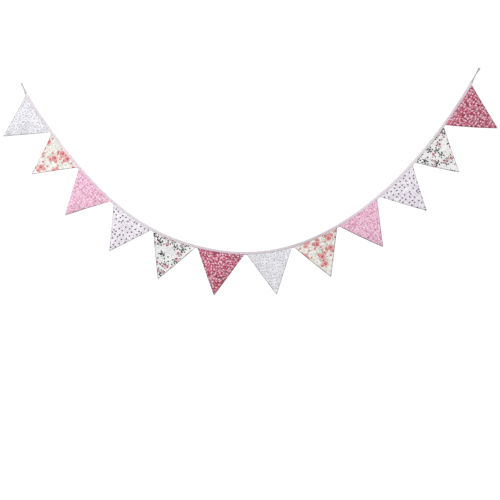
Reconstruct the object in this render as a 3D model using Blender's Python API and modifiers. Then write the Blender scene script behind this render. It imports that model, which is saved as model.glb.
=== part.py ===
"""Fabric bunting: twelve triangular cotton pennants held by the tops in a folded binding tape.

The tape hangs in a swag in the XZ plane and the pennants face -Y. The outer end of the tape at the
left is the origin. All sizes in the tables are millimetres and degrees.
"""

import math
from collections import namedtuple

import bmesh
import bpy
import numpy as np
from mathutils import Vector

MM = 0.001

# Binding tape: one cotton strip folded lengthwise, fold uppermost
TAPE_WIDTH = 11.0
TAPE_WALL = 1.0
POCKET_WIDTH = 1.8
PINCHED_WIDTH = 0.4
FOLD_SHOULDER = 3.6
FOLD_CORNER_HEIGHT = 5.0
FOLD_CORNER_SHARE = 0.72
RIGHT_TAIL = 69.0
LEFT_END_SLOPE = -67.0
RIGHT_END_SLOPE = 62.7
PATH_STEP = 1.0

# Pennants: two layers of cotton, turned out and pressed flat
CLOTH_THICKNESS = 1.2
CLEARANCE = 0.3
TOP_INSIDE_TAPE = 3.0
FREE_BELOW_CENTRE = 6.1
TIP_WIDTH = 3.0
SWING_POWER = 1.5
ROLL_POWER = 0.8
COLUMNS = 6
ROWS = 10

# Each row: bare tape before the pennant, length of its top, slope of the tape there, drop of the tip
# below the tape, shift of the tip along the tape, then how far the cloth stands out of its plane
# towards +Y at the middle, at the tip, and at the right edge
Pennant = namedtuple("Pennant", "name cloth gap top slope drop lean belly swing roll")
PENNANTS = [
    Pennant("pennant_01", "white_sprig", 48, 175, -55.0, 163, -3, -3.0, 5.0, 2.0),
    Pennant("pennant_02", "cream_rose", 3, 169, -52.3, 159, -7, 2.5, -4.0, -3.0),
    Pennant("pennant_03", "pink_leaf", 3, 178, -46.3, 167, 3, -3.5, 3.0, 2.5),
    Pennant("pennant_04", "lilac_bud", 12, 181, -35.1, 162, 1, -2.0, -5.0, 3.0),
    Pennant("pennant_05", "white_rose", 3, 180, -20.9, 169, -5, 3.0, 4.0, -2.0),
    Pennant("pennant_06", "magenta_flower", 3, 187, -8.2, 176, -4, -4.0, 2.0, 2.0),
    Pennant("pennant_07", "white_sprig", 3, 181, 8.5, 174, 4, -2.5, -4.0, -3.0),
    Pennant("pennant_08", "cream_rose", 3, 189, 24.9, 167, -8, 3.5, 3.0, 3.5),
    Pennant("pennant_09", "pink_leaf", 3, 185, 36.0, 167, 2, -3.0, 9.0, -4.0),
    Pennant("pennant_10", "lilac_bud", 9, 181, 44.5, 168, 4, -3.5, 4.0, 2.0),
    Pennant("pennant_11", "white_rose", 7, 183, 51.0, 160, -10, 2.0, -5.0, -2.5),
    Pennant("pennant_12", "magenta_flower", 3, 191, 56.5, 180, 9, -3.5, 6.0, 3.0),
]

# Turn of the bare tape ends about their own length, by the distance from the outer end
TailTurn = namedtuple("TailTurn", "distance turn")
LEFT_TURNS = [
    TailTurn(0.0, 60.0),
    TailTurn(9.0, 68.0),
    TailTurn(20.0, 71.0),
    TailTurn(31.0, 62.0),
    TailTurn(41.0, 22.0),
    TailTurn(46.0, 0.0),
]
RIGHT_TURNS = [
    TailTurn(0.0, -40.0),
    TailTurn(9.0, -55.0),
    TailTurn(11.0, -58.0),
    TailTurn(26.0, -70.0),
    TailTurn(46.0, -66.0),
    TailTurn(58.0, -30.0),
    TailTurn(66.0, 0.0),
]

# The right end of the tape is turned under on itself, which doubles its wall
TURNED_END = 9.0
TURNED_WALL = 1.9

COLOURS = {
    "binding": (0.84, 0.76, 0.80),
    "white_sprig": (0.80, 0.80, 0.85),
    "cream_rose": (0.86, 0.62, 0.52),
    "pink_leaf": (0.80, 0.42, 0.58),
    "lilac_bud": (0.78, 0.72, 0.82),
    "white_rose": (0.74, 0.68, 0.68),
    "magenta_flower": (0.58, 0.14, 0.28),
}


def clear_scene():
    for item in list(bpy.data.objects):
        bpy.data.objects.remove(item, do_unlink=True)


def make_collection(name):
    collection = bpy.data.collections.new(name)
    bpy.context.scene.collection.children.link(collection)
    return collection


def make_material(name):
    material = bpy.data.materials.new(name)
    material.use_nodes = True
    shader = material.node_tree.nodes["Principled BSDF"]
    shader.inputs["Base Color"].default_value = (*COLOURS[name], 1.0)
    shader.inputs["Roughness"].default_value = 0.9
    return material


class TapePath:
    """The middle line of the tape: its slope changes evenly from one pennant's middle to the next."""

    def __init__(self):
        self.starts = []
        distance = 0.0
        for row in PENNANTS:
            distance += row.gap
            self.starts.append(distance)
            distance += row.top
        self.length = distance + RIGHT_TAIL
        middles = [start + row.top / 2 for start, row in zip(self.starts, PENNANTS)]
        self.knots = [0.0, *middles, self.length]
        self.slopes = [LEFT_END_SLOPE, *(row.slope for row in PENNANTS), RIGHT_END_SLOPE]
        self.distances = np.arange(0.0, self.length + PATH_STEP, PATH_STEP)
        slopes = np.radians(np.interp(self.distances, self.knots, self.slopes))
        middle_slopes = (slopes[1:] + slopes[:-1]) / 2
        self.across = np.concatenate([[0.0], np.cumsum(np.cos(middle_slopes) * PATH_STEP)])
        self.height = np.concatenate([[0.0], np.cumsum(np.sin(middle_slopes) * PATH_STEP)])

    def point(self, distance):
        across = np.interp(distance, self.distances, self.across)
        height = np.interp(distance, self.distances, self.height)
        return Vector((across, 0.0, height))

    def upward(self, distance):
        """Unit vector square to the tape, pointing to its folded side."""
        slope = math.radians(np.interp(distance, self.knots, self.slopes))
        return Vector((-math.sin(slope), 0.0, math.cos(slope)))


def tape_section(pocket, wall):
    """Outline of the folded strip as (out of plane, up) pairs, round the outside then the pocket."""
    outer = pocket / 2 + wall
    inner = pocket / 2
    bottom = -TAPE_WIDTH / 2
    top = TAPE_WIDTH / 2
    outside = [
        (-outer, bottom),
        (-outer, FOLD_SHOULDER),
        (-outer * FOLD_CORNER_SHARE, FOLD_CORNER_HEIGHT),
        (0.0, top),
        (outer * FOLD_CORNER_SHARE, FOLD_CORNER_HEIGHT),
        (outer, FOLD_SHOULDER),
        (outer, bottom),
    ]
    inside = [
        (inner, bottom),
        (inner, FOLD_SHOULDER),
        (0.0, top - TAPE_WALL),
        (-inner, FOLD_SHOULDER),
        (-inner, bottom),
    ]
    return outside + inside


def tape_stations(path):
    """Distances along the tape with the pocket width, the wall and the turn of the strip at each."""
    stations = []
    for row in LEFT_TURNS:
        stations.append((row.distance, PINCHED_WIDTH, TAPE_WALL, row.turn))
    for index, (start, row) in enumerate(zip(path.starts, PENNANTS)):
        if index:
            stations.append((start - row.gap / 2, PINCHED_WIDTH, TAPE_WALL, 0.0))
        stations.append((start - CLEARANCE, POCKET_WIDTH, TAPE_WALL, 0.0))
        for column in range(1, COLUMNS):
            stations.append((start + row.top * column / COLUMNS, POCKET_WIDTH, TAPE_WALL, 0.0))
        stations.append((start + row.top + CLEARANCE, POCKET_WIDTH, TAPE_WALL, 0.0))
    for row in reversed(RIGHT_TURNS):
        wall = TURNED_WALL if row.distance <= TURNED_END else TAPE_WALL
        stations.append((path.length - row.distance, PINCHED_WIDTH, wall, row.turn))
    return stations


def make_tape(path, collection):
    """Lofts the folded section along the swag; the sections differ, so the faces join them by hand."""
    mesh = bmesh.new()
    rings = []
    for distance, pocket, wall, turn in tape_stations(path):
        centre = path.point(distance)
        angle = math.radians(turn)
        up = path.upward(distance) * math.cos(angle) + Vector((0, math.sin(angle), 0))
        out = Vector((0, math.cos(angle), 0)) - path.upward(distance) * math.sin(angle)
        ring = [
            mesh.verts.new((centre + out * depth + up * height) * MM)
            for depth, height in tape_section(pocket, wall)
        ]
        rings.append(ring)
    for ring, following in zip(rings[:-1], rings[1:]):
        for index in range(len(ring)):
            after = (index + 1) % len(ring)
            mesh.faces.new((ring[index], ring[after], following[after], following[index]))
    mesh.faces.new(reversed(rings[0]))
    mesh.faces.new(rings[-1])
    bmesh.ops.triangulate(mesh, faces=mesh.faces[:])
    bmesh.ops.recalc_face_normals(mesh, faces=mesh.faces[:])
    data = bpy.data.meshes.new("binding_tape")
    mesh.to_mesh(data)
    mesh.free()
    tape = bpy.data.objects.new("binding_tape", data)
    data.materials.append(make_material("binding"))
    collection.objects.link(tape)


def out_of_plane(row, side, fall):
    """How far the cloth stands towards +Y; side runs -1 to 1 and fall 0 at the tape to 1 at the tip."""
    belly = row.belly * (1 - side * side) * math.sin(math.pi * fall)
    swing = row.swing * fall ** SWING_POWER
    roll = row.roll * side * math.sin(math.pi * fall ** ROLL_POWER)
    return belly + swing + roll


def pennant_point(path, start, row, along, down):
    """A point of the pennant's middle surface; along and down run 0 to 1."""
    distance = start + row.top * along
    if down == 0:
        return path.point(distance) + path.upward(distance) * TOP_INSIDE_TAPE
    left = path.point(start)
    right = path.point(start + row.top)
    chord = (right - left).normalized()
    downward = Vector((chord.z, 0.0, -chord.x))
    tip = (left + right) / 2 + downward * row.drop + chord * row.lean
    tip += chord * TIP_WIDTH * (along - 0.5)
    edge = FREE_BELOW_CENTRE / row.drop
    fall = (down * ROWS - 1) / (ROWS - 1)
    blend = edge + (1 - edge) * fall
    point = path.point(distance).lerp(tip, blend)
    point.y = out_of_plane(row, 2 * along - 1, fall)
    return point


def make_pennant(path, start, row, material, collection):
    """A grid pulled into the hanging triangle, then given the cloth's thickness."""
    mesh = bmesh.new()
    bmesh.ops.create_grid(mesh, x_segments=COLUMNS, y_segments=ROWS, size=0.5)
    for vertex in mesh.verts:
        along = round((vertex.co.x + 0.5) * COLUMNS) / COLUMNS
        down = round((0.5 - vertex.co.y) * ROWS) / ROWS
        vertex.co = pennant_point(path, start, row, along, down) * MM
    data = bpy.data.meshes.new(row.name)
    mesh.to_mesh(data)
    mesh.free()
    pennant = bpy.data.objects.new(row.name, data)
    thickness = pennant.modifiers.new("cloth", "SOLIDIFY")
    thickness.thickness = CLOTH_THICKNESS * MM
    thickness.offset = 0.0
    split = pennant.modifiers.new("facets", "TRIANGULATE")
    split.quad_method = "FIXED"
    data.materials.append(material)
    collection.objects.link(pennant)


def main():
    clear_scene()
    collection = make_collection("fabric_bunting")
    path = TapePath()
    make_tape(path, collection)
    cloths = {}
    for start, row in zip(path.starts, PENNANTS):
        if row.cloth not in cloths:
            cloths[row.cloth] = make_material(row.cloth)
        make_pennant(path, start, row, cloths[row.cloth], collection)


main()
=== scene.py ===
"""Visual model of a fabric bunting: printed cotton pennants in a folded, stitched binding tape.

Lengths of the tape and pennants are millimetres and angles degrees, as in the part; MM turns them
into metres. Lengths of the studio are metres. Colours are screen colours, 0 to 255.
"""

import math
from collections import namedtuple

import bmesh
import bpy
import numpy as np
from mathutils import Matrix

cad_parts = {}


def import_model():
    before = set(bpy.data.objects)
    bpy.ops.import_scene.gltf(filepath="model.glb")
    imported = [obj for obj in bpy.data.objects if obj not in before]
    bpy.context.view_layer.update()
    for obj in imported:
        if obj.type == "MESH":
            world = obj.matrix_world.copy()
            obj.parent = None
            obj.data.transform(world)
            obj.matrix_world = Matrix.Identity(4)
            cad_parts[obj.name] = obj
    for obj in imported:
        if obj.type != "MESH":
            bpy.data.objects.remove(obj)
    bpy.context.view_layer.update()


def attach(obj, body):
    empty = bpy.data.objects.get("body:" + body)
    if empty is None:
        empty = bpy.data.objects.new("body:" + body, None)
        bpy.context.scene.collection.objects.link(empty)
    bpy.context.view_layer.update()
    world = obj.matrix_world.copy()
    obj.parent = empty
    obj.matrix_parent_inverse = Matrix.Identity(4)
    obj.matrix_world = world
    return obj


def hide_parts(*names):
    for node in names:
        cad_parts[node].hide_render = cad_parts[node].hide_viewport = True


MM = 0.001

# Binding tape: its middle line, then the heights and thicknesses of its folded section
TAPE_WIDTH = 11.0
RIGHT_TAIL = 69.0
LEFT_END_SLOPE = -67.0
RIGHT_END_SLOPE = 62.7
PATH_STEP = 1.0
TAPE_STEP = 1.5
OUTER_HEIGHTS = [-5.5, -5.2, -4.6, -4.15, -3.8, -3.45, -2.9, -2.0, -1.2, 0.6, 2.2, 3.6]
FOLD_SHOULDER = 3.6
FOLD_HEIGHT = 1.9
FOLD_INNER_HEIGHT = 1.2
FOLD_POINTS = 7
INNER_RAISE = 0.1
TAPE_WALL = 0.55
HEM_WALL = 0.95
HEM_TOP = -1.6
HEM_BLEND = 0.5
HALF_POCKET = 0.80
HALF_PINCH = 0.12
PINCH_BLEND = 1.3
PINCH_INSET = 0.1
TURNED_END = 9.0
TURNED_BLEND = 0.8
TURNED_EXTRA = 0.9
# Unevenness of the tape's sides between fold and stitching, and of its lower edges
TAPE_EASE = 0.22
EASE_LONG_WAVE = 7.3
EASE_SHORT_WAVE = 3.1
EASE_BOTTOM = -3.0
EASE_HEIGHT = 7.5
WANDER = 0.18
WANDER_WAVE = 11.0
WANDER_TOP = -2.6

# Stitching along the tape
STITCH_LINE = -3.8
STITCH_PITCH = 3.0
STITCH_LENGTH = 2.3
STITCH_RADIUS = 0.21
STITCH_SIDES = 6
STITCH_DIMPLE = 0.16
DIMPLE_WIDTH = 0.45
STITCH_LEAN = 0.04
STITCH_SHIFT = 0.05
STITCH_SEED = 31
# Rings of thread along one stitch: place by its length, share of its radius, and lift off the cloth
STITCH_RINGS = [
    (-0.5, 0.35, -0.3),
    (-0.36, 0.9, 0.0),
    (0.0, 1.0, 0.1),
    (0.36, 0.9, 0.0),
    (0.5, 0.35, -0.3),
]

# Pennants: outline and rows of points
TOP_INSIDE_TAPE = 2.8
TIP_WIDTH = 2.6
EDGE_OFFSETS = [0.0, 0.12, 0.4, 0.8, 1.3, 2.2, 3.4, 5.2, 6.2, 7.2, 9.5]
EDGE_ROOM = 24.0
INNER_COLUMNS = 26
TOP_ROWS = 3
PENNANT_ROWS = 46
ROW_CROWDING = 1.05
ROLL_ROWS = (0.4, 1.2)
TOP_ROWS_END = 0.2
FREE_ROWS_START = 0.6
# Thickness: a rolled edge, the padded seam allowance inside it, and the tip
HALF_SEAM = 0.60
HALF_CLOTH = 0.40
EDGE_ROLL = 1.2
SEAM_INNER = 5.2
SEAM_OUTER = 7.2
TIP_EXTRA = 0.22
TIP_REACH = 14.0
# Relief: swing and roll, the turn and waves of the side edges, ripples, gathers under the tape, folds
SWING_POWER = 1.5
ROLL_POWER = 0.8
EDGE_TURN = 2.2
EDGE_TURN_WIDTH = 5.5
EDGE_WAVE = 0.8
EDGE_WAVE_WIDTH = 22.0
EDGE_WAVES = (38, 60)
EDGE_START = (5.0, 30.0)
RIPPLE = 0.35
RIPPLE_WAVES = (55, 95)
GATHER = 0.45
GATHER_REACH = 26.0
GATHER_WAVES = (26, 36)
GATHER_START = (1.0, 10.0)
FOLDS = (0.35, 0.8)
FOLD_ANGLES = (55, 125)
FOLD_WIDTHS = (5.0, 9.0)
FOLD_START = (2.0, 30.0)
RELIEF_SEED = 100
# Where each pennant is cut from its cloth
CUT_RANGE = 400
CUT_SEED = 200

# Each row: the pennant's name and cloth, bare tape before it, length of its top, slope of the tape
# there, drop of the tip below the tape, shift of the tip along the tape, then how far the cloth
# stands out of its plane towards +Y at the middle, at the tip, and at the right edge, how far the
# middles of the left and right edges draw in, and how much the tape's front side falls short of its
# back there
Pennant = namedtuple(
    "Pennant", "name cloth gap top slope drop lean belly swing roll bow_left bow_right short"
)
PENNANTS = [
    Pennant("pennant_01", "white_sprig", 48, 175, -55.0, 163, -3, -3.0, 5.0, 2.0, 0.8, 0.0, 1.6),
    Pennant("pennant_02", "cream_rose", 3, 169, -52.3, 159, -7, 2.5, -4.0, -3.0, 1.8, 1.0, 0.6),
    Pennant("pennant_03", "pink_leaf", 3, 178, -46.3, 167, 3, -3.5, 3.0, 2.5, 0.2, 1.0, 1.9),
    Pennant("pennant_04", "lilac_bud", 12, 181, -35.1, 162, 1, -2.0, -5.0, 3.0, 1.0, 0.3, 1.0),
    Pennant("pennant_05", "white_rose", 3, 180, -20.9, 169, -5, 3.0, 4.0, -2.0, 0.0, -2.2, 0.6),
    Pennant("pennant_06", "magenta_flower", 3, 187, -8.2, 176, -4, -4.0, 2.0, 2.0, -0.9, -0.7, 2.2),
    Pennant("pennant_07", "white_sprig", 3, 181, 8.5, 174, 4, -2.5, -4.0, -3.0, -0.6, 0.4, 1.6),
    Pennant("pennant_08", "cream_rose", 3, 189, 24.9, 167, -8, 3.5, 3.0, 3.5, -1.2, -0.4, 1.8),
    Pennant("pennant_09", "pink_leaf", 3, 185, 36.0, 167, 2, -3.0, 9.0, -4.0, -1.8, 0.4, 1.4),
    Pennant("pennant_10", "lilac_bud", 9, 181, 44.5, 168, 4, -3.5, 4.0, 2.0, -0.9, 1.3, 0.6),
    Pennant("pennant_11", "white_rose", 7, 183, 51.0, 160, -10, 2.0, -5.0, -2.5, -1.0, 1.2, 0.4),
    Pennant("pennant_12", "magenta_flower", 3, 191, 56.5, 180, 9, -3.5, 6.0, 3.0, -2.8, 0.1, 0.9),
]

# Looks at each pennant: how much painted shade darkens the tape there, how pink the tape's colour is
# there, and how strong the painted shade along the pennant's left and right edges is
Finish = namedtuple("Finish", "deep pink shade_left shade_right")
FINISHES = [
    Finish(0.58, 0.0, 0.5, 0.0),
    Finish(0.0, 0.4, 0.5, 0.5),
    Finish(0.2, 1.0, 0.25, 0.15),
    Finish(0.35, 0.05, 0.4, 0.15),
    Finish(0.65, 0.0, 0.75, 0.7),
    Finish(0.5, 0.95, 0.5, 0.5),
    Finish(0.77, 0.0, 0.45, 0.25),
    Finish(1.0, 0.55, 0.85, 0.85),
    Finish(0.0, 0.8, 0.85, 0.5),
    Finish(0.0, 0.25, 0.3, 0.45),
    Finish(0.23, 0.1, 0.65, 0.6),
    Finish(0.58, 0.85, 0.5, 0.5),
]

# Turn of the bare tape ends about their own length, as (distance from the outer end, turn)
LEFT_TURNS = [(0.0, 62.0), (9.0, 70.0), (20.0, 73.0), (34.0, 68.0), (43.0, 30.0), (47.0, 0.0)]
RIGHT_TURNS = [(0.0, -40.0), (9.0, -58.0), (26.0, -71.0), (48.0, -68.0), (60.0, -32.0), (67.0, 0.0)]
# Height on the tape about which each bare end turns
LEFT_PIVOT = 2.0
RIGHT_PIVOT = 2.2

# Prints. Ground and shade are the cloth's own two colours, and wobble is how far the drawing strays.
# A layer scatters one group of motifs over the cloth, about one group every spacing, and leaves some
# places empty: share is the part of them that it fills. A motif's x, y and angle place it in the
# group; size is its length or radius. Stems wind under the layers, about one every pitch.
Motif = namedtuple(
    "Motif", "kind x y size colour accent pale angle width turns", defaults=[None, None, 0, 0, 0]
)
Layer = namedtuple("Layer", "spacing jitter seed share motifs")
Stems = namedtuple("Stems", "pitch width colour")
Print = namedtuple("Print", "ground shade wobble layers stems", defaults=[None])


def leaf(x, y, angle, size, width, colour, rib=None):
    return Motif("leaf", x, y, size, colour, rib, angle=angle, width=width)


def dot(x, y, size, colour):
    return Motif("dot", x, y, size, colour)


def blossom(x, y, size, colour, heart):
    return Motif("blossom", x, y, size, colour, heart)


def rose(x, y, size, colour, line, pale, turns=2.2):
    """A full rose: its petal line winds the given turns from the heart to the pale outer petals."""
    return Motif("rose", x, y, size, colour, line, pale, turns=turns)


def curl(x, y, size, width, colour):
    return Motif("curl", x, y, size, colour, width=width)


# Colours of the prints
GREY_SPRIG = (180, 178, 190)
GREY_BUD = (152, 150, 166)
CORAL = (240, 166, 164)
CORAL_DEEP = (180, 82, 92)
CORAL_PALE = (253, 219, 215)
MINT = (200, 208, 194)
SAGE = (136, 146, 130)
STEM_GREY = (166, 172, 160)
STRAW = (224, 208, 152)
LEAF_PALE = (255, 230, 245)
LEAF_ROSE = (204, 128, 163)
PLUM = (98, 84, 104)
LILAC_GREY = (198, 190, 204)
BUD_GREY = (192, 184, 198)
HALO_WHITE = (255, 252, 255)
FOREST = (24, 32, 33)
MOSS = (104, 132, 118)
MIST_LEAF = (207, 213, 213)
CRIMSON = (124, 34, 58)
ROSE_PINK = (240, 202, 210)
ROSE_WHITE = (255, 240, 240)
PALE_PINK = (255, 222, 232)
FLOWER_PINK = (244, 160, 188)
MAROON = (100, 38, 56)
OLIVE = (152, 124, 112)
CERISE = (200, 80, 122)

PRINTS = {
    "white_sprig": Print((244, 242, 246), (230, 229, 234), 0.5, [
        Layer(10.6, 0.65, 1, 0.97, [
            leaf(0, -1, 40, 4.8, 2.5, GREY_SPRIG),
            leaf(0, -1, 140, 4.6, 2.5, GREY_SPRIG),
            leaf(0, -1, -90, 3.2, 1.1, GREY_SPRIG),
            dot(0, 1.4, 1.2, GREY_BUD),
        ]),
        Layer(7.6, 0.7, 21, 0.7, [leaf(-1.9, 0, 20, 3.8, 1.9, GREY_SPRIG)]),
        Layer(27, 0.95, 2, 0.6, [dot(0, 0, 3.6, HALO_WHITE), dot(0, 0, 1.9, GREY_BUD)]),
        Layer(13, 0.9, 3, 0.6, [dot(0, 0, 2.1, HALO_WHITE)]),
    ]),
    "cream_rose": Print((254, 251, 247), (246, 241, 233), 0.9, [
        Layer(12.5, 0.7, 20, 0.95, [
            curl(0, 0, 4.6, 1.3, STEM_GREY),
            leaf(1.5, 1.5, 30, 5, 2.7, MINT, SAGE),
            leaf(-1.5, -1.5, 200, 4.6, 2.3, STEM_GREY),
        ]),
        Layer(24, 0.7, 4, 0.75, [
            leaf(0, 0, 20, 9, 4.4, MINT, SAGE),
            leaf(0, 0, 150, 8, 4, MINT, SAGE),
            leaf(-1, -2, 265, 6.5, 3, STRAW, SAGE),
            rose(0, 1.5, 5.6, CORAL, CORAL_DEEP, CORAL_PALE, 1.3),
        ]),
        Layer(50, 0.6, 5, 1, [
            leaf(8, 6, 35, 14, 6.5, MINT, SAGE),
            leaf(-9, 7, 140, 14, 6.5, MINT, SAGE),
            leaf(-6, -10, 250, 12, 5.6, MINT, SAGE),
            leaf(10, -8, -30, 11, 5.2, MINT, SAGE),
            rose(-11, -3, 11, CORAL, CORAL_DEEP, CORAL_PALE),
            rose(10, -6, 9, CORAL, CORAL_DEEP, CORAL_PALE, 1.6),
            rose(1, 5, 13.5, CORAL, CORAL_DEEP, CORAL_PALE),
        ]),
    ]),
    "pink_leaf": Print((251, 197, 220), (248, 189, 214), 0.5, [
        Layer(10.5, 0.75, 9, 0.5, [
            leaf(0, 0, 60, 5.4, 3.4, LEAF_ROSE),
            leaf(0, 0, 240, 5, 3, LEAF_ROSE),
        ]),
        Layer(11.6, 0.65, 7, 0.85, [
            leaf(0, -0.6, 30, 6, 3.6, LEAF_PALE),
            leaf(0, -0.6, 150, 6, 3.6, LEAF_PALE),
            leaf(0, -0.6, 270, 5.2, 3.4, LEAF_PALE),
        ]),
        Layer(9.4, 0.8, 26, 0.75, [leaf(-2.6, 0, 15, 5.2, 2.9, LEAF_PALE)]),
        Layer(9, 0.8, 8, 0.5, [dot(0, 0, 1.4, LEAF_PALE)]),
    ], Stems(8.5, 0.045, LEAF_ROSE)),
    "lilac_bud": Print((253, 248, 254), (243, 236, 246), 0.5, [
        Layer(11.5, 0.75, 10, 0.9, [
            curl(0, 0, 4.3, 1.2, LILAC_GREY),
            leaf(-1, -1, 220, 4.4, 2.2, LILAC_GREY),
        ]),
        Layer(16.8, 0.62, 11, 1, [
            dot(-2.2, 2.6, 3.4, HALO_WHITE),
            leaf(0, 0, 200, 6.8, 3.4, BUD_GREY),
            leaf(0, 0, 330, 6.4, 3.2, BUD_GREY),
            dot(0, 0.6, 3.1, PLUM),
        ]),
        Layer(10, 0.9, 12, 0.35, [dot(0, 0, 1.3, LILAC_GREY)]),
    ]),
    "white_rose": Print((252, 250, 249), (237, 236, 237), 0.9, [
        Layer(15, 0.9, 22, 0.8, [
            leaf(0, 0, 70, 6.5, 3.4, MIST_LEAF),
            leaf(0, 0, 190, 6, 3.2, MIST_LEAF),
        ]),
        Layer(35, 0.8, 13, 0.95, [
            leaf(3.5, 3, 20, 8, 4.6, MOSS),
            leaf(-5, -4, 195, 7.5, 4.4, MOSS),
            leaf(-5, -1, 15, 11, 6.4, FOREST),
            leaf(2, -6, 100, 10.5, 6.2, FOREST),
            leaf(-1, 6, 235, 10, 6, FOREST),
            leaf(6, -4, -50, 8.5, 5.6, FOREST),
            leaf(-4, 6, 120, 7.5, 5.2, FOREST),
            leaf(-3, -7, 285, 8, 5.4, FOREST),
            leaf(4, 5, 60, 8, 5, FOREST),
            dot(6.5, 0.5, 1.7, FOREST),
            dot(-1.5, 1.5, 1.7, ROSE_PINK),
        ]),
        Layer(21, 0.9, 25, 0.5, [
            leaf(-3, 0, 10, 7, 4.4, FOREST),
            leaf(1, 1, 110, 6, 4, FOREST),
        ]),
        Layer(34, 0.75, 14, 0.62, [
            leaf(6, 5, 40, 9, 5.2, FOREST),
            leaf(-6, 5, 140, 9, 5.2, FOREST),
            leaf(8, -4, -35, 7, 4, MOSS),
            rose(0, 0, 10, ROSE_PINK, CRIMSON, ROSE_WHITE, 1.3),
        ]),
        Layer(29, 0.9, 23, 0.3, [rose(0, 0, 6, ROSE_PINK, CRIMSON, ROSE_WHITE, 1.1)]),
    ]),
    "magenta_flower": Print((192, 86, 118), (176, 66, 96), 0.6, [
        Layer(12, 0.75, 16, 0.75, [
            leaf(-3.5, 0, 10, 7.2, 4, OLIVE),
            leaf(0, 0.5, 130, 4.8, 3, OLIVE),
        ]),
        Layer(10, 0.75, 15, 0.85, [
            leaf(0, 0, 40, 5.3, 3.3, MAROON),
            leaf(0, 0, 200, 5, 3, MAROON),
        ]),
        Layer(9.8, 0.8, 24, 0.75, [blossom(0, 0, 3.6, FLOWER_PINK, MAROON)]),
        Layer(11.8, 0.85, 17, 0.8, [blossom(0, 0, 3.5, PALE_PINK, CERISE)]),
        Layer(6.5, 0.95, 18, 0.4, [dot(0, 0, 1.3, PALE_PINK)]),
    ]),
}

# Colours of the tape and its thread, and the painted shade on the tape, its ends and pennant edges
TAPE_COLOUR = (234, 230, 233)
TAPE_PAINTED_SHADE_COLOUR = (208, 204, 207)
TAPE_PINK = (255, 231, 245)
TAIL_PAINTED_SHADE_COLOUR = (214, 206, 211)
THREAD_LIGHT = (214, 200, 210)
THREAD_DARK = (214, 198, 208)
EDGE_PAINTED_SHADE = (150, 140, 146)
EDGE_PAINTED_SHADE_WIDTH = 4.2
EDGE_PAINTED_SHADE_FULL = 1.4

# Cloth: scales of the noise, in turns a millimetre, then the weave and its threads, and painted shade in
# the weave's hollows
DRIFT_SCALE = 0.35
CLOUD_SCALE = 0.035
MOTTLE_SCALE = 0.12
THREAD_SCALE = 3.0
THREAD_STRETCH = (0.9, 0.12, 1.0)
THREAD_SHADE = 0.16
THREAD_DEPTH = 0.08
TWIST_SCALE = 4.0
WEAVE_PAINTED_SHADE = 0.05
PRINT_WEAVE = 0.45
TAPE_WEAVE = 0.4

# Photograph's frame: millimetres of the real thing to a pixel, and the pixel of the tape's left end
PHOTO_SCALE = 3.86
PHOTO_SIZE = 500
LEFT_END_PIXEL = (21.2, 83.2)
CAMERA_DISTANCE = 6.0
SENSOR_WIDTH = 36.0

# Studio, in metres: the floor brightens to white between its centre and its rim
FLOOR_SIZE = 60.0
FLOOR_DEPTH = 2.1
FLOOR_CENTRE = 1.6
FLOOR_RIM = 2.7
FLOOR_GLOW = 0.4
FLOOR_RIM_GLOW = 0.7
FLOOR_DARK = (226, 226, 226)
FLOOR_LIGHT = (232, 232, 232)
FLOOR_GRAIN = 3.0
SKY_LIGHT = 0.36
SKY_SLANT = 0.16
SKY_SEEN = 1.05
# Soft lamps: each one's place from the middle of the picture, and its power in watts
Lamp = namedtuple("Lamp", "name right back up power")
LAMP_SIZE = 2.4
LAMPS = [
    Lamp("key", -1.9, -3.4, 2.2, 118.0),
    Lamp("fill", 2.6, -4.2, 0.4, 44.0),
    Lamp("back", 0.0, 3.6, 1.6, 90.0),
]


def smooth(low, high, value):
    """0 below low, 1 above high and an even curve between."""
    share = np.clip((value - low) / (high - low), 0.0, 1.0)
    return share * share * (3.0 - 2.0 * share)


def linear_colour(colour):
    """Scene-linear red, green, blue and alpha of a screen colour."""
    parts = [channel / 255.0 for channel in colour]
    return (*(c / 12.92 if c <= 0.04045 else ((c + 0.055) / 1.055) ** 2.4 for c in parts), 1.0)


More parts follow.
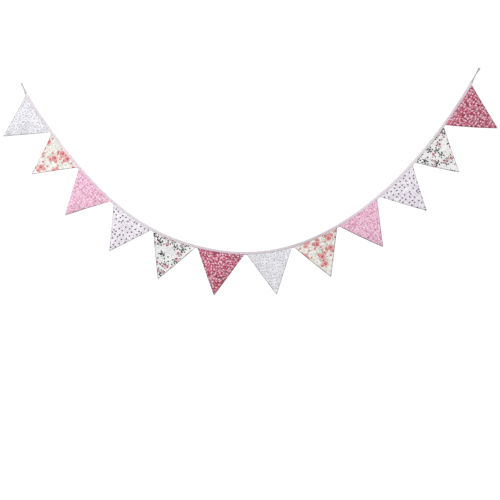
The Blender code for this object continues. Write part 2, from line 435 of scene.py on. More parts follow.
class TapePath:
    """The middle line of the tape: its slope changes evenly from one pennant's middle to the next."""

    def __init__(self):
        self.starts = []
        distance = 0.0
        for row in PENNANTS:
            distance += row.gap
            self.starts.append(distance)
            distance += row.top
        self.length = distance + RIGHT_TAIL
        middles = [start + row.top / 2 for start, row in zip(self.starts, PENNANTS)]
        self.knots = [0.0, *middles, self.length]
        self.slopes = [LEFT_END_SLOPE, *(row.slope for row in PENNANTS), RIGHT_END_SLOPE]
        self.distances = np.arange(0.0, self.length + PATH_STEP, PATH_STEP)
        slopes = self.slope(self.distances)
        middle_slopes = (slopes[1:] + slopes[:-1]) / 2
        self.across = np.concatenate([[0.0], np.cumsum(np.cos(middle_slopes) * PATH_STEP)])
        self.height = np.concatenate([[0.0], np.cumsum(np.sin(middle_slopes) * PATH_STEP)])

    def slope(self, distance):
        return np.radians(np.interp(distance, self.knots, self.slopes))

    def point(self, distance):
        across = np.interp(distance, self.distances, self.across)
        height = np.interp(distance, self.distances, self.height)
        return np.stack([across, np.zeros_like(across), height], axis=-1)

    def forward(self, distance):
        slope = self.slope(distance)
        return np.stack([np.cos(slope), np.zeros_like(slope), np.sin(slope)], axis=-1)

    def upward(self, distance):
        """Unit vectors square to the tape, pointing to its folded side."""
        slope = self.slope(distance)
        return np.stack([-np.sin(slope), np.zeros_like(slope), np.cos(slope)], axis=-1)

    def turn(self, distance):
        """Turn of the bare ends about their own length, in radians."""
        left = np.interp(distance, *zip(*LEFT_TURNS))
        right = np.interp(self.length - distance, *zip(*RIGHT_TURNS))
        return np.radians(left + right)

    def from_pennants(self, values, distance):
        """A value that each pennant sets at its middle: 0 at the tape's ends, and even in between."""
        return np.interp(distance, self.knots, [0.0, *values, 0.0])

    def filled(self, distance):
        """1 where the tape holds a pennant and 0 where its two sides are stitched together."""
        share = np.zeros_like(distance)
        for start, row in zip(self.starts, PENNANTS):
            end = start + row.top
            rise = smooth(start - PINCH_BLEND, start - PINCH_INSET, distance)
            fall = 1.0 - smooth(end + PINCH_INSET, end + PINCH_BLEND, distance)
            share = np.maximum(share, rise * fall)
        return share


def mesh_object(name, points, faces, coordinates=None):
    """A mesh from points in millimetres; coordinates are one texture pair for each face corner."""
    data = bpy.data.meshes.new(name)
    data.from_pydata((np.asarray(points) * MM).tolist(), [], faces)
    data.update()
    if coordinates is not None:
        layer = data.uv_layers.new(name="cloth")
        layer.data.foreach_set("uv", (np.asarray(coordinates) * MM).ravel())
    data.shade_smooth()
    piece = bpy.data.objects.new(name, data)
    bpy.context.scene.collection.objects.link(piece)
    return piece


def point_values(piece, name, values):
    """Keeps one number for each point of the mesh, for its material to read."""
    attribute = piece.data.attributes.new(name, "FLOAT", "POINT")
    attribute.data.foreach_set("value", values)


def outward_faces(piece):
    """Turns every face's normal to the outside."""
    mesh = bmesh.new()
    mesh.from_mesh(piece.data)
    bmesh.ops.recalc_face_normals(mesh, faces=mesh.faces[:])
    mesh.to_mesh(piece.data)
    mesh.free()


# The tape

def wall_thickness(path, distance, height):
    """Thickness of one side of the tape, with its turned-in edges and the dimples of its stitches."""
    hem = 1 - smooth(HEM_TOP - HEM_BLEND, HEM_TOP + HEM_BLEND, height)
    wall = TAPE_WALL + (HEM_WALL - TAPE_WALL) * hem
    beat = 0.5 + 0.5 * np.cos(2 * math.pi * distance / STITCH_PITCH)
    line = np.exp(-(((height - STITCH_LINE) / DIMPLE_WIDTH) ** 2))
    wall = wall - STITCH_DIMPLE * line * (0.5 + 0.5 * beat)
    turned = 1 - smooth(TURNED_END, TURNED_END + TURNED_BLEND, path.length - distance)
    return wall + TURNED_EXTRA * turned


def tape_puff(distance, side):
    """Uneven ease of the tape's side between its fold and its stitching."""
    phase = 0.0 if side < 0 else 2.1
    slow = np.sin(distance / EASE_LONG_WAVE + phase)
    return TAPE_EASE * (slow + 0.7 * np.sin(distance / EASE_SHORT_WAVE + 2 * phase))


def tape_frame(path, distance):
    """Middle point, upward and outward directions of the tape's section, turned at the bare ends."""
    turn = path.turn(distance)[..., None]
    level = path.upward(distance)
    depth = np.zeros_like(level)
    depth[..., 1] = 1.0
    up = level * np.cos(turn) + depth * np.sin(turn)
    out = depth * np.cos(turn) - level * np.sin(turn)
    pivot = np.where(distance < path.length / 2, LEFT_PIVOT, RIGHT_PIVOT)
    centre = path.point(distance) + level * (pivot[..., None] * (1 - np.cos(turn)))
    return centre, up, out


def half_pocket(path, distance):
    """Half the room between the tape's two sides."""
    return HALF_PINCH + (HALF_POCKET - HALF_PINCH) * path.filled(distance)


def drawn_up(path, distance, height):
    """Height of a point of the front side where the uneven fold leaves that side short."""
    share = np.clip((FOLD_SHOULDER - height) / (FOLD_SHOULDER - OUTER_HEIGHTS[0]), 0, 1)
    return height + path.from_pennants([row.short for row in PENNANTS], distance) * share


def side_profile(path, distance, side):
    """Points of one outer side from its lower edge up to the fold's shoulder, as (depth, height)."""
    inner = half_pocket(path, distance)
    puff = tape_puff(distance, side)
    wander = WANDER * np.sin(distance / WANDER_WAVE + side)
    bottom = OUTER_HEIGHTS[0]
    profile = []
    for height in OUTER_HEIGHTS:
        rounding = 0.5 if height == bottom else 1.0
        wall = wall_thickness(path, distance, height) * rounding
        ease = math.sin(math.pi * np.clip((height - EASE_BOTTOM) / EASE_HEIGHT, 0, 1))
        level = drawn_up(path, distance, height) if side < 0 else height
        level = level + wander * (1 - smooth(bottom, WANDER_TOP, height))
        profile.append((side * (inner + wall + puff * ease), level))
    return profile


def tape_rings(path, distances):
    """Section points of the folded strip at each station, round the outside and back inside."""
    inner = half_pocket(path, distances)
    front = side_profile(path, distances, -1)
    back = side_profile(path, distances, 1)
    section = list(front)
    for step in range(1, FOLD_POINTS):
        angle = math.pi * step / FOLD_POINTS
        share = (1 - math.cos(angle)) / 2
        depth = front[-1][0] * (1 - share) + back[-1][0] * share
        section.append((depth, FOLD_SHOULDER + FOLD_HEIGHT * math.sin(angle)))
    section += reversed(back)
    bottom = OUTER_HEIGHTS[0] + INNER_RAISE
    section += [
        (inner, bottom),
        (inner, 0.0),
        (inner, FOLD_SHOULDER),
        (np.zeros_like(inner), FOLD_SHOULDER + FOLD_INNER_HEIGHT),
        (-inner, FOLD_SHOULDER),
        (-inner, drawn_up(path, distances, 0.0)),
        (-inner, drawn_up(path, distances, bottom)),
    ]
    centre, up, out = tape_frame(path, distances)
    rings = []
    for depth, height in section:
        level = np.full_like(distances, height)
        rings.append(centre + out * depth[:, None] + up * level[:, None])
    return np.stack(rings, axis=1)


def make_tape(path):
    """The folded strip as one closed mesh that keeps the flat coordinates of its cloth."""
    count = int(path.length / TAPE_STEP) + 1
    distances = np.linspace(0.0, path.length, count)
    rings = tape_rings(path, distances)
    around = rings.shape[1]
    sample = rings[count // 2]
    lengths = np.linalg.norm(np.diff(sample, axis=0, append=sample[:1]), axis=1)
    outer_count = 2 * len(OUTER_HEIGHTS) + FOLD_POINTS - 1
    developed = np.concatenate([[0.0], np.cumsum(lengths)])
    developed -= developed[outer_count - 1] / 2
    faces = []
    coordinates = []
    for station in range(count - 1):
        base = station * around
        here, ahead = distances[station], distances[station + 1]
        for index in range(around):
            after = (index + 1) % around
            faces.append((base + index, base + after, base + around + after, base + around + index))
            start, end = developed[index], developed[index + 1]
            coordinates += [(here, start), (here, end), (ahead, end), (ahead, start)]
    for station in (0, count - 1):
        faces.append(tuple(range(station * around, (station + 1) * around)))
        coordinates += [(distances[station], developed[index]) for index in range(around)]
    tape = mesh_object("tape_cloth", rings.reshape(-1, 3), faces, coordinates)
    # Painted shade and pink tint of the tape, set at each pennant
    for name in ("deep", "pink"):
        values = path.from_pennants([getattr(row, name) for row in FINISHES], distances)
        point_values(tape, name, np.repeat(values, around))
    outward_faces(tape)
    return tape


def stitch_template():
    """One stitch lying along X: rings of a rounded thread whose ends dip into the cloth."""
    points = []
    for place, share, lift in STITCH_RINGS:
        for side in range(STITCH_SIDES):
            angle = 2 * math.pi * side / STITCH_SIDES
            points.append((
                place * STITCH_LENGTH,
                math.cos(angle) * STITCH_RADIUS * share + lift,
                math.sin(angle) * STITCH_RADIUS * share,
            ))
    faces = []
    last = len(STITCH_RINGS) - 1
    for ring in range(last):
        for side in range(STITCH_SIDES):
            after = (side + 1) % STITCH_SIDES
            low = ring * STITCH_SIDES
            high = low + STITCH_SIDES
            faces.append((low + side, low + after, high + after, high + side))
    faces.append(tuple(range(STITCH_SIDES)))
    faces.append(tuple(range(last * STITCH_SIDES, (last + 1) * STITCH_SIDES)))
    return np.array(points), faces


def make_stitching(path):
    """A line of separate stitches on each side of the tape, each a little out of line."""
    template, template_faces = stitch_template()
    places = np.arange(STITCH_PITCH, path.length - STITCH_PITCH / 2, STITCH_PITCH) + STITCH_PITCH / 2
    draws = np.random.default_rng(STITCH_SEED)
    lines = drawn_up(path, places, STITCH_LINE)
    centres, ups, outs = tape_frame(path, places)
    along = path.forward(places)
    depth = half_pocket(path, places) + wall_thickness(path, places, STITCH_LINE)
    points = []
    faces = []
    for side in (-1, 1):
        for index in range(len(places)):
            lean = draws.normal(0.0, STITCH_LEAN)
            shift = draws.normal(0.0, STITCH_SHIFT)
            forward = along[index] * math.cos(lean) + ups[index] * math.sin(lean)
            sideways = ups[index] * math.cos(lean) - along[index] * math.sin(lean)
            centre = centres[index] + ups[index] * (lines[index] + shift)
            centre = centre + outs[index] * side * depth[index]
            base = len(points) * len(template)
            stitch = centre + template[:, :1] * forward + template[:, 1:2] * outs[index] * side
            points.append(stitch + template[:, 2:] * sideways)
            faces += [tuple(base + corner for corner in face) for face in template_faces]
    stitching = mesh_object("tape_stitching", np.concatenate(points), faces)
    outward_faces(stitching)
    return stitching


# The pennants

def out_of_plane(row, side, fall):
    """How far the cloth stands towards +Y; side runs -1 to 1 and fall 0 at the tape to 1 at the tip."""
    belly = row.belly * (1 - side * side) * np.sin(math.pi * fall)
    swing = row.swing * fall ** SWING_POWER
    roll = row.roll * side * np.sin(math.pi * fall ** ROLL_POWER)
    return belly + swing + roll


def creases(row, draws, across, below):
    """Soft folds and ripples of the hung cloth; across and below are millimetres on the flat cloth."""
    ripple = np.zeros_like(across)
    for _ in range(3):
        angle = draws.uniform(0, math.pi)
        wave = draws.uniform(*RIPPLE_WAVES)
        phase = draws.uniform(0, 2 * math.pi)
        distance = across * math.cos(angle) + below * math.sin(angle)
        ripple += RIPPLE * np.sin(2 * math.pi * distance / wave + phase)
    wave = draws.uniform(*GATHER_WAVES)
    phase = draws.uniform(0, 6)
    gathers = GATHER * np.exp(-below / GATHER_REACH) * np.sin(2 * math.pi * across / wave + phase)
    folds = np.zeros_like(across)
    for _ in range(3):
        angle = math.radians(draws.uniform(*FOLD_ANGLES))
        middle = draws.uniform(-0.25, 0.25) * row.top
        depth = draws.uniform(*FOLDS) * draws.choice([-1, 1])
        width = draws.uniform(*FOLD_WIDTHS)
        distance = (across - middle) * math.sin(angle) - below * math.cos(angle)
        folds += depth * np.exp(-((distance / width) ** 2))
    return (ripple + folds) * smooth(*FOLD_START, below) + gathers * smooth(*GATHER_START, below)


def edge_curl(draws, from_side, below):
    """Small waves of the pressed side edges, which also turn a little towards the back."""
    wave = draws.uniform(*EDGE_WAVES)
    phase = draws.uniform(0, 2 * math.pi)
    near = np.clip(1 - from_side / EDGE_WAVE_WIDTH, 0, 1) ** 2
    waves = EDGE_WAVE * near * np.sin(2 * math.pi * below / wave + phase)
    turned = EDGE_TURN * np.clip(1 - from_side / EDGE_TURN_WIDTH, 0, 1) ** 2
    return (waves + turned) * smooth(*EDGE_START, below)


def half_thickness(from_edge, from_tip):
    """Half the cloth's thickness: rolled at the very edge, padded by the seam allowance inside it."""
    band = 1 - smooth(SEAM_INNER, SEAM_OUTER, from_edge)
    half = HALF_CLOTH + (HALF_SEAM - HALF_CLOTH) * band
    half = half + TIP_EXTRA * (1 - smooth(TIP_REACH * 0.6, TIP_REACH, from_tip)) * smooth(1, 3, from_tip)
    inward = np.clip(from_edge / EDGE_ROLL, 0, 1)
    return half * np.sqrt(np.clip(1 - (1 - inward) ** 2, 0, 1))


def pennant_rows(row):
    """For each row of points: its rise above the tape's middle line, its blend from that line at 0 to
    the tip at 1, and its fall from the tape's lower edge at 0 to the tip at 1."""
    lip = TAPE_WIDTH / 2
    heights = np.linspace(TOP_INSIDE_TAPE, -lip - TOP_ROWS_END, TOP_ROWS)
    falls = 1 - (1 - np.linspace(0, 1, PENNANT_ROWS)) ** ROW_CROWDING
    near_tip, far = (1 - EDGE_ROLL * share / row.drop for share in ROLL_ROWS)
    falls[-2] = near_tip
    falls = np.sort(np.append(falls, far))
    lip_share = (lip + FREE_ROWS_START) / row.drop
    rise = np.append(np.maximum(0.0, heights), np.zeros_like(falls))
    blend = np.append(np.maximum(0.0, -heights) / row.drop, lip_share + (1 - lip_share) * falls)
    fall = np.append(np.zeros_like(heights), falls)
    return rise[:, None], blend[:, None], fall[:, None]


def pennant_grid(path, start, row, number):
    """Middle surface, half thickness, flat coordinates and edge distance of one pennant."""
    draws = np.random.default_rng(RELIEF_SEED + number)
    left = path.point(np.float64(start))
    right = path.point(np.float64(start + row.top))
    top_middle = (left + right) / 2
    chord = (right - left) / np.linalg.norm(right - left)
    downward = np.array([chord[2], 0.0, -chord[0]])
    tip = top_middle + downward * row.drop + chord * row.lean

    rise, blend, fall = pennant_rows(row)
    width = row.top * (1 - blend) + TIP_WIDTH * blend
    sides = np.array(EDGE_OFFSETS) * np.minimum(1.0, width / EDGE_ROOM)
    inner = sides[:, -1]
    between = np.linspace(inner, width[:, 0] - inner, INNER_COLUMNS + 2, axis=1)[:, 1:-1]
    places = np.concatenate([sides, between, (width - sides)[:, ::-1]], axis=1)
    along = places / width
    on_tape = start + row.top * along
    tip_points = tip + chord * TIP_WIDTH * (along - 0.5)[..., None]
    points = path.point(on_tape) * (1 - blend[..., None]) + tip_points * blend[..., None]
    points = points + path.upward(on_tape) * rise[..., None]
    across = (points - top_middle) @ chord
    flat = np.stack([across, -((points - top_middle) @ downward)], axis=-1)

    bow = np.where(along < 0.5, row.bow_left, -row.bow_right) * np.sin(math.pi * fall)
    points = points + chord * (bow * np.abs(2 * along - 1) ** 3)[..., None]
    from_side = np.minimum(places, width - places)
    from_tip = row.drop * (1 - blend)
    edge = np.minimum(from_side, from_tip)
    below = np.maximum(0.0, row.drop * blend - TAPE_WIDTH / 2)
    points[..., 1] = out_of_plane(row, 2 * along - 1, fall)
    points[..., 1] += creases(row, draws, across, below)
    points[..., 1] += edge_curl(draws, from_side, below)
    return points, half_thickness(edge, from_tip), flat, edge


def make_pennant(path, start, row, finish, number):
    """A turned pennant: front and back cloth that meet in a rolled edge all round."""
    middle, half, flat, edge = pennant_grid(path, start, row, number)
    rows, columns = half.shape
    inner = np.zeros_like(half, dtype=bool)
    inner[1:-1, 1:-1] = True
    lift = np.zeros_like(middle)
    lift[..., 1] = np.where(inner, half, 0.0)
    front = np.arange(rows * columns).reshape(rows, columns)
    back = front.copy()
    back[inner] = rows * columns + np.arange(inner.sum())
    # Strength of the painted shade along the pennant's left and right edges
    left_half = np.arange(columns) < columns / 2
    shade = np.where(left_half, finish.shade_left, finish.shade_right) + np.zeros_like(edge)
    cut = np.random.default_rng(CUT_SEED + number).uniform(0, CUT_RANGE, (2, 2))
    faces = []
    coordinates = []
    for index, hand, side_cut in ((front, 1, cut[0]), (back, -1, cut[1])):
        for i in range(rows - 1):
            for j in range(columns - 1):
                corners = [(i, j), (i + 1, j), (i + 1, j + 1), (i, j + 1)][::hand]
                faces.append(tuple(index[corner] for corner in corners))
                coordinates += [flat[corner] * (hand, 1) + side_cut for corner in corners]
    points = np.concatenate([(middle - lift).reshape(-1, 3), (middle + lift)[inner]])
    piece = mesh_object(f"cloth_{row.name}", points, faces, coordinates)
    point_values(piece, "edge_distance", np.append(edge, edge[inner]))
    point_values(piece, "edge_shade", np.append(shade, shade[inner]))
    outward_faces(piece)
    return piece


# Materials

# Places of the colour sockets on Blender's Mix node
MIX_COLOUR_A = 6
MIX_COLOUR_B = 7
MIX_COLOUR = 2


class Net:
    """Short calls that add shader nodes to one tree."""

    def __init__(self, tree):
        self.tree = tree

    def feed(self, socket, value):
        """Links an output to the socket, or sets its value; three numbers are a screen colour."""
        if isinstance(value, bpy.types.NodeSocket):
            self.tree.links.new(value, socket)
        elif isinstance(value, tuple) and len(value) == 3 and socket.type == "RGBA":
            socket.default_value = linear_colour(value)
        else:
            socket.default_value = value

    def add(self, kind, inputs=None, **settings):
        node = self.tree.nodes.new(kind)
        for key, value in settings.items():
            setattr(node, key, value)
        for key, value in (inputs or {}).items():
            self.feed(node.inputs[key], value)
        return node

    def maths(self, operation, *values, clamp=False):
        node = self.add("ShaderNodeMath", operation=operation, use_clamp=clamp)
        for index, value in enumerate(values):
            self.feed(node.inputs[index], value)
        return node.outputs[0]

    def plus(self, first, second):
        return self.maths("ADD", first, second)

    def minus(self, first, second):
        return self.maths("SUBTRACT", first, second)

    def times(self, first, second):
        return self.maths("MULTIPLY", first, second)

    def length(self, right, up):
        return self.maths("SQRT", self.plus(self.times(right, right), self.times(up, up)))

    def vector(self, operation, *values):
        node = self.add("ShaderNodeVectorMath", operation=operation)
        for index, value in enumerate(values):
            self.feed(node.inputs["Scale" if operation == "SCALE" and index == 1 else index], value)
        return node.outputs["Value" if operation == "LENGTH" else "Vector"]

    def step(self, low, high, value):
        """Rises smoothly from 0 at low to 1 at high, where low may be the larger."""
        node = self.add("ShaderNodeMapRange", interpolation_type="SMOOTHSTEP")
        self.feed(node.inputs["Value"], value)
        self.feed(node.inputs["From Min"], low)
        self.feed(node.inputs["From Max"], high)
        return node.outputs[0]

    def mix(self, share, low, high, blend="MIX"):
        node = self.add("ShaderNodeMix", data_type="RGBA", blend_type=blend)
        self.feed(node.inputs["Factor"], share)
        self.feed(node.inputs[MIX_COLOUR_A], low)
        self.feed(node.inputs[MIX_COLOUR_B], high)
        return node.outputs[MIX_COLOUR]

    def noise(self, vector, scale, detail=2.0, roughness=0.5, output="Fac"):
        inputs = {"Vector": vector, "Scale": scale, "Detail": detail, "Roughness": roughness}
        return self.add("ShaderNodeTexNoise", inputs).outputs[output]

    def parts(self, vector):
        return self.add("ShaderNodeSeparateXYZ", {"Vector": vector}).outputs

    def attribute(self, name):
        return self.add("ShaderNodeAttribute", attribute_name=name).outputs["Fac"]

    def surface(self, inputs):
        """Feeds the tree's own shader."""
        for key, value in inputs.items():
            self.feed(self.tree.nodes["Principled BSDF"].inputs[key], value)


def motif_group(name, inputs, outputs):
    """A new group for one kind of motif: its Net, inputs and outputs, and how far right of and above
    the motif's place a point lies."""
    tree = bpy.data.node_groups.new(name, "ShaderNodeTree")
    for socket in ["X", "Y", "Place X", "Place Y", *inputs]:
        tree.interface.new_socket(socket, in_out="INPUT", socket_type="NodeSocketFloat")
    for socket in outputs:
        tree.interface.new_socket(socket, in_out="OUTPUT", socket_type="NodeSocketFloat")
    net = Net(tree)
    given = net.add("NodeGroupInput").outputs
    result = net.add("NodeGroupOutput").inputs
    right = net.minus(given["X"], given["Place X"])
    up = net.minus(given["Y"], given["Place Y"])
    return net, given, result, right, up


def leaf_group():
    """A pointed leaf that starts at its place and grows along its angle, with a rib."""
    inputs = ["Angle", "Length", "Width"]
    net, given, result, right, up = motif_group("leaf", inputs, ["Mask", "Rib"])
    cosine = net.maths("COSINE", given["Angle"])
    sine = net.maths("SINE", given["Angle"])
    along = net.plus(net.times(right, cosine), net.times(up, sine))
    across = net.minus(net.times(up, cosine), net.times(right, sine))
    share = net.maths("DIVIDE", along, given["Length"], clamp=True)
    swell = net.maths("SINE", net.times(net.maths("POWER", share, 0.8), math.pi))
    half = net.times(net.times(swell, given["Width"]), 0.5)
    room = net.minus(half, net.maths("ABSOLUTE", across))
    net.feed(result["Mask"], net.step(0.0, 0.3, room))
    net.feed(result["Rib"], net.step(0.45, 0.15, net.maths("ABSOLUTE", across)))
    return net.tree


def round_group(name, petals, depth):
    """A round motif, its rim cut into petals of the given depth: the whole of it, its heart, the line
    that winds round its petals, and its outer petals."""
    outputs = ["Mask", "Heart", "Line", "Outer"]
    net, given, result, right, up = motif_group(name, ["Radius", "Turns"], outputs)
    radius = net.length(right, up)
    angle = net.maths("ARCTAN2", up, right)
    lobe = net.maths("ABSOLUTE", net.maths("COSINE", net.times(angle, petals / 2)))
    rim = net.maths("MULTIPLY_ADD", lobe, depth, 1.0 - depth)
    room = net.minus(net.times(rim, given["Radius"]), radius)
    share = net.maths("DIVIDE", radius, given["Radius"])
    wound = net.times(share, given["Turns"])
    spiral = net.minus(wound, net.maths("DIVIDE", angle, 2 * math.pi))
    turn = net.maths("FRACT", spiral)
    net.feed(result["Mask"], net.step(0.0, 0.35, room))
    net.feed(result["Heart"], net.step(0.34, 0.14, share))
    net.feed(result["Line"], net.times(net.step(0.58, 0.78, turn), net.step(1.0, 0.8, share)))
    net.feed(result["Outer"], net.step(0.5, 0.8, share))
    return net.tree


def curl_group():
    """A thin open curl of vine."""
    net, given, result, right, up = motif_group("curl", ["Radius", "Width"], ["Mask"])
    angle = net.maths("ARCTAN2", up, right)
    grow = net.maths("MULTIPLY_ADD", angle, 0.16, 0.62)
    line = net.minus(net.length(right, up), net.times(grow, given["Radius"]))
    room = net.minus(net.times(given["Width"], 0.5), net.maths("ABSOLUTE", line))
    open_part = net.step(-2.6, -2.0, angle)
    net.feed(result["Mask"], net.times(net.step(-0.1, 0.2, room), open_part))
    return net.tree


def scatter(net, place, layer):
    """Local millimetres round the nearest of the layer's places, turned at random, and a draw."""
    offset = (layer.seed * 37.7, layer.seed * 21.3, 0.0)
    grid = net.vector("SCALE", net.vector("ADD", place, offset), 1.0 / layer.spacing)
    cells = net.add(
        "ShaderNodeTexVoronoi",
        {"Vector": grid, "Scale": 1.0, "Randomness": layer.jitter},
        voronoi_dimensions="2D",
    )
    local = net.vector("SCALE", net.vector("SUBTRACT", grid, cells.outputs["Position"]), layer.spacing)
    draws = net.add("ShaderNodeSeparateColor", {"Color": cells.outputs["Color"]}).outputs
    turn = net.times(draws[0], 2 * math.pi)
    turned = net.add("ShaderNodeVectorRotate", {"Vector": local, "Angle": turn}, rotation_type="Z_AXIS")
    parts = net.parts(turned.outputs[0])
    return parts[0], parts[1], draws[1]


def paint_motif(net, groups, colour, motif, right, up, present):
    """The colour with one motif painted over it."""
    inputs = {"X": right, "Y": up, "Place X": motif.x, "Place Y": motif.y}
    if motif.kind == "leaf":
        inputs |= {"Angle": math.radians(motif.angle), "Length": motif.size, "Width": motif.width}
    elif motif.kind == "curl":
        inputs |= {"Radius": motif.size, "Width": motif.width}
    else:
        inputs |= {"Radius": motif.size, "Turns": motif.turns}
    shape = net.add("ShaderNodeGroup", inputs, node_tree=groups[motif.kind]).outputs
    ink = motif.colour
    if motif.kind == "leaf" and motif.accent:
        ink = net.mix(shape["Rib"], motif.colour, motif.accent)
    elif motif.kind == "blossom":
        ink = net.mix(shape["Heart"], motif.colour, motif.accent)
    elif motif.kind == "rose":
        petals = net.mix(shape["Outer"], motif.colour, motif.pale)
        ink = net.mix(net.maths("MAXIMUM", shape["Line"], shape["Heart"]), petals, motif.accent)
    return net.mix(net.times(shape["Mask"], present), colour, ink)


def weave_height(net, place, pitch):
    """Plain weave: threads that pass over and under each other."""
    parts = net.parts(place)
    turn = 2 * math.pi / pitch
    warp = net.maths("SINE", net.times(parts[0], turn))
    weft = net.maths("SINE", net.times(parts[1], turn))
    return net.times(warp, weft)


def cloth_shader(net, colour, place, pitch, roughness):
    """Joins a colour to the shader, with weave, painted shade in the weave's hollows, thread unevenness
    and a soft cotton sheen.
    """
    stretched = net.vector("MULTIPLY", place, THREAD_STRETCH)
    threads = net.noise(stretched, THREAD_SCALE, 3.0, 0.6)
    shade = net.maths("MULTIPLY_ADD", threads, THREAD_SHADE, 1.0 - THREAD_SHADE / 2)
    weave = weave_height(net, place, pitch)
    # Painted shade: the weave's low places are darker and its high places lighter in the colour
    shade = net.times(shade, net.maths("MULTIPLY_ADD", weave, WEAVE_PAINTED_SHADE, 1.0))
    grey = net.add("ShaderNodeCombineColor", {"Red": shade, "Green": shade, "Blue": shade}).outputs[0]
    colour = net.mix(1.0, colour, grey, "MULTIPLY")
    height = net.maths("MULTIPLY_ADD", threads, 0.8, weave)
    bump = net.add("ShaderNodeBump", {"Height": height, "Strength": 0.6, "Distance": THREAD_DEPTH * MM})
    net.surface({
        "Base Color": colour,
        "Normal": bump.outputs[0],
        "Roughness": roughness,
        "Specular IOR Level": 0.25,
        "Sheen Weight": 0.12,
        "Sheen Roughness": 0.5,
    })


def cloth_place(net):
    """The cloth's own flat coordinates in millimetres."""
    node = net.add("ShaderNodeUVMap", uv_map="cloth")
    return net.vector("SCALE", node.outputs[0], 1.0 / MM)


def new_material(name):
    material = bpy.data.materials.new(name)
    material.use_nodes = True
    return material, Net(material.node_tree)


def print_material(name, design, groups):
    """A printed cotton: its ground, its stems, its layers of motifs, and painted shade along its edges.
    """
    material, net = new_material(name)
    place = cloth_place(net)
    drift = net.noise(place, DRIFT_SCALE, output="Color")
    drift = net.vector("SUBTRACT", drift, (0.5, 0.5, 0.5))
    drawn = net.vector("ADD", place, net.vector("SCALE", drift, 2 * design.wobble))
    cloud = net.noise(place, CLOUD_SCALE)
    colour = net.mix(net.step(0.35, 0.7, cloud), design.ground, design.shade)
    if design.stems:
        winding = net.noise(drawn, 1.0 / design.stems.pitch, 1.0)
        off_line = net.maths("ABSOLUTE", net.minus(winding, 0.5))
        on_line = net.step(design.stems.width, design.stems.width * 0.6, off_line)
        colour = net.mix(on_line, colour, design.stems.colour)
    for layer in design.layers:
        right, up, draw = scatter(net, drawn, layer)
        present = net.maths("LESS_THAN", draw, layer.share)
        for motif in layer.motifs:
            colour = paint_motif(net, groups, colour, motif, right, up, present)
    # Painted shade: the cloth is darkened near its edges, as strongly as each side's finish sets
    edge = net.attribute("edge_distance")
    shade = net.attribute("edge_shade")
    rim = net.times(net.step(EDGE_PAINTED_SHADE_WIDTH, EDGE_PAINTED_SHADE_FULL, edge), shade)
    edge_painted_shade_colour = net.mix(1.0, colour, EDGE_PAINTED_SHADE, "MULTIPLY")
    colour = net.mix(rim, colour, edge_painted_shade_colour)
    cloth_shader(net, colour, place, PRINT_WEAVE, roughness=0.85)
    return material


def tape_material(path):
    """Plain cotton with painted shade and a pink tint that change along the tape; its bare ends get
    painted shade of their own.
    """
    material, net = new_material("binding")
    place = cloth_place(net)
    parts = net.parts(place)
    mottle = net.noise(place, MOTTLE_SCALE)
    # Painted shade along the tape, set at each pennant and mottled at random
    deep = net.maths("MULTIPLY_ADD", net.minus(mottle, 0.5), 0.4, net.attribute("deep"), clamp=True)
    colour = net.mix(deep, TAPE_COLOUR, TAPE_PAINTED_SHADE_COLOUR)
    colour = net.mix(net.attribute("pink"), colour, TAPE_PINK, "MULTIPLY")
    # Painted shade on the tape's bare ends
    left_end = path.starts[0]
    right_end = path.length - RIGHT_TAIL
    left_tail = net.step(left_end + 2.0, left_end - 6.0, parts[0])
    right_tail = net.step(right_end, right_end + 10.0, parts[0])
    colour = net.mix(net.plus(left_tail, right_tail), colour, TAIL_PAINTED_SHADE_COLOUR)
    cloth_shader(net, colour, place, TAPE_WEAVE, roughness=0.8)
    return material


def thread_material():
    material, net = new_material("thread")
    place = net.add("ShaderNodeTexCoord").outputs["Object"]
    twist = net.noise(place, TWIST_SCALE / MM, 1.0)
    net.surface({"Base Color": net.mix(twist, THREAD_LIGHT, THREAD_DARK), "Roughness": 0.6})
    return material


def floor_material(middle):
    """Pale studio floor that brightens to white away from the middle."""
    material, net = new_material("floor")
    place = net.add("ShaderNodeTexCoord").outputs["Object"]
    away = net.vector("LENGTH", net.vector("SUBTRACT", place, (middle, 0.0, 0.0)))
    fade = net.step(FLOOR_CENTRE, FLOOR_RIM, away)
    grain = net.noise(place, FLOOR_GRAIN)
    net.surface({
        "Base Color": net.mix(grain, FLOOR_DARK, FLOOR_LIGHT),
        "Roughness": 0.9,
        "Specular IOR Level": 0.0,
        "Emission Color": (255, 255, 255),
        "Emission Strength": net.maths("MULTIPLY_ADD", fade, FLOOR_RIM_GLOW, FLOOR_GLOW),
    })
    return material


# The studio

def make_floor(middle):
    """A floor that sends no light back to the cloth."""
    bpy.ops.mesh.primitive_grid_add(x_subdivisions=8, y_subdivisions=8, size=FLOOR_SIZE)
    floor = bpy.context.object
    floor.name = "studio_floor"
    floor.location = (0.0, 0.0, -FLOOR_DEPTH)
    floor.visible_diffuse = False
    floor.data.materials.append(floor_material(middle))


def make_world():
    """White to the camera; dimmer to the cloth, with more light from above than from below."""
    world = bpy.data.worlds.new("studio")
    world.use_nodes = True
    bpy.context.scene.world = world
    net = Net(world.node_tree)
    background = world.node_tree.nodes["Background"].inputs
    direction = net.add("ShaderNodeTexCoord").outputs["Generated"]
    height = net.parts(direction)[2]
    soft = net.maths("MULTIPLY_ADD", height, SKY_SLANT, SKY_LIGHT)
    seen = net.add("ShaderNodeLightPath").outputs["Is Camera Ray"]
    strength = net.maths("MAXIMUM", net.times(seen, SKY_SEEN), soft)
    net.feed(background["Color"], (255, 255, 255))
    net.feed(background["Strength"], strength)


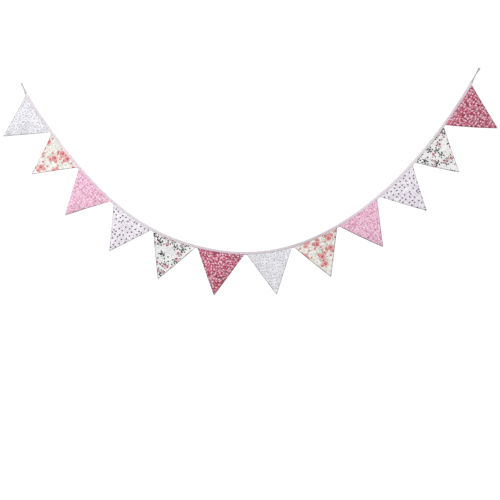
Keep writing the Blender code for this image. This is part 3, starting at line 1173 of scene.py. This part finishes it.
def make_lamp(lamp, middle):
    """A square soft lamp that points at the middle of the picture."""
    light = bpy.data.lights.new(lamp.name, "AREA")
    light.shape = "SQUARE"
    light.size = LAMP_SIZE
    light.energy = lamp.power
    item = bpy.data.objects.new(lamp.name, light)
    place = np.array(middle) + (lamp.right, lamp.back, lamp.up)
    item.location = place
    direction = np.array(middle) - place
    yaw = math.atan2(direction[0], -direction[1])
    flat = math.hypot(direction[0], direction[1])
    item.rotation_euler = (math.atan2(flat, -direction[2]), 0.0, yaw + math.pi)
    bpy.context.scene.collection.objects.link(item)


def make_camera():
    """A camera straight in front, framed as the photograph; returns the middle of its picture."""
    frame_width = PHOTO_SCALE * PHOTO_SIZE * MM
    middle_x = (PHOTO_SIZE / 2 - LEFT_END_PIXEL[0]) * PHOTO_SCALE * MM
    middle_z = -(PHOTO_SIZE / 2 - LEFT_END_PIXEL[1]) * PHOTO_SCALE * MM
    data = bpy.data.cameras.new("camera")
    data.sensor_width = SENSOR_WIDTH
    data.lens = SENSOR_WIDTH * CAMERA_DISTANCE / frame_width
    data.clip_end = 100.0
    camera = bpy.data.objects.new("camera", data)
    camera.location = (middle_x, -CAMERA_DISTANCE, middle_z)
    camera.rotation_euler = (math.pi / 2, 0.0, 0.0)
    bpy.context.scene.collection.objects.link(camera)
    bpy.context.scene.camera = camera
    return middle_x, 0.0, middle_z


def main():
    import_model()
    path = TapePath()
    groups = {
        "leaf": leaf_group(),
        "dot": round_group("dot", 2, 0.0),
        "blossom": round_group("blossom", 5, 0.4),
        "rose": round_group("rose", 7, 0.12),
        "curl": curl_group(),
    }
    cloths = {name: print_material(name, design, groups) for name, design in PRINTS.items()}

    tape = make_tape(path)
    tape.data.materials.append(tape_material(path))
    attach(tape, "root")
    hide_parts("binding_tape")
    stitching = make_stitching(path)
    stitching.data.materials.append(thread_material())
    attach(stitching, "root")

    for number, (start, row, finish) in enumerate(zip(path.starts, PENNANTS, FINISHES), 1):
        piece = make_pennant(path, start, row, finish, number)
        piece.data.materials.append(cloths[row.cloth])
        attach(piece, "root")
        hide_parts(row.name)

    middle = make_camera()
    make_floor(middle[0])
    make_world()
    for lamp in LAMPS:
        make_lamp(lamp, middle)
    bpy.context.scene.view_settings.view_transform = "Standard"


main()
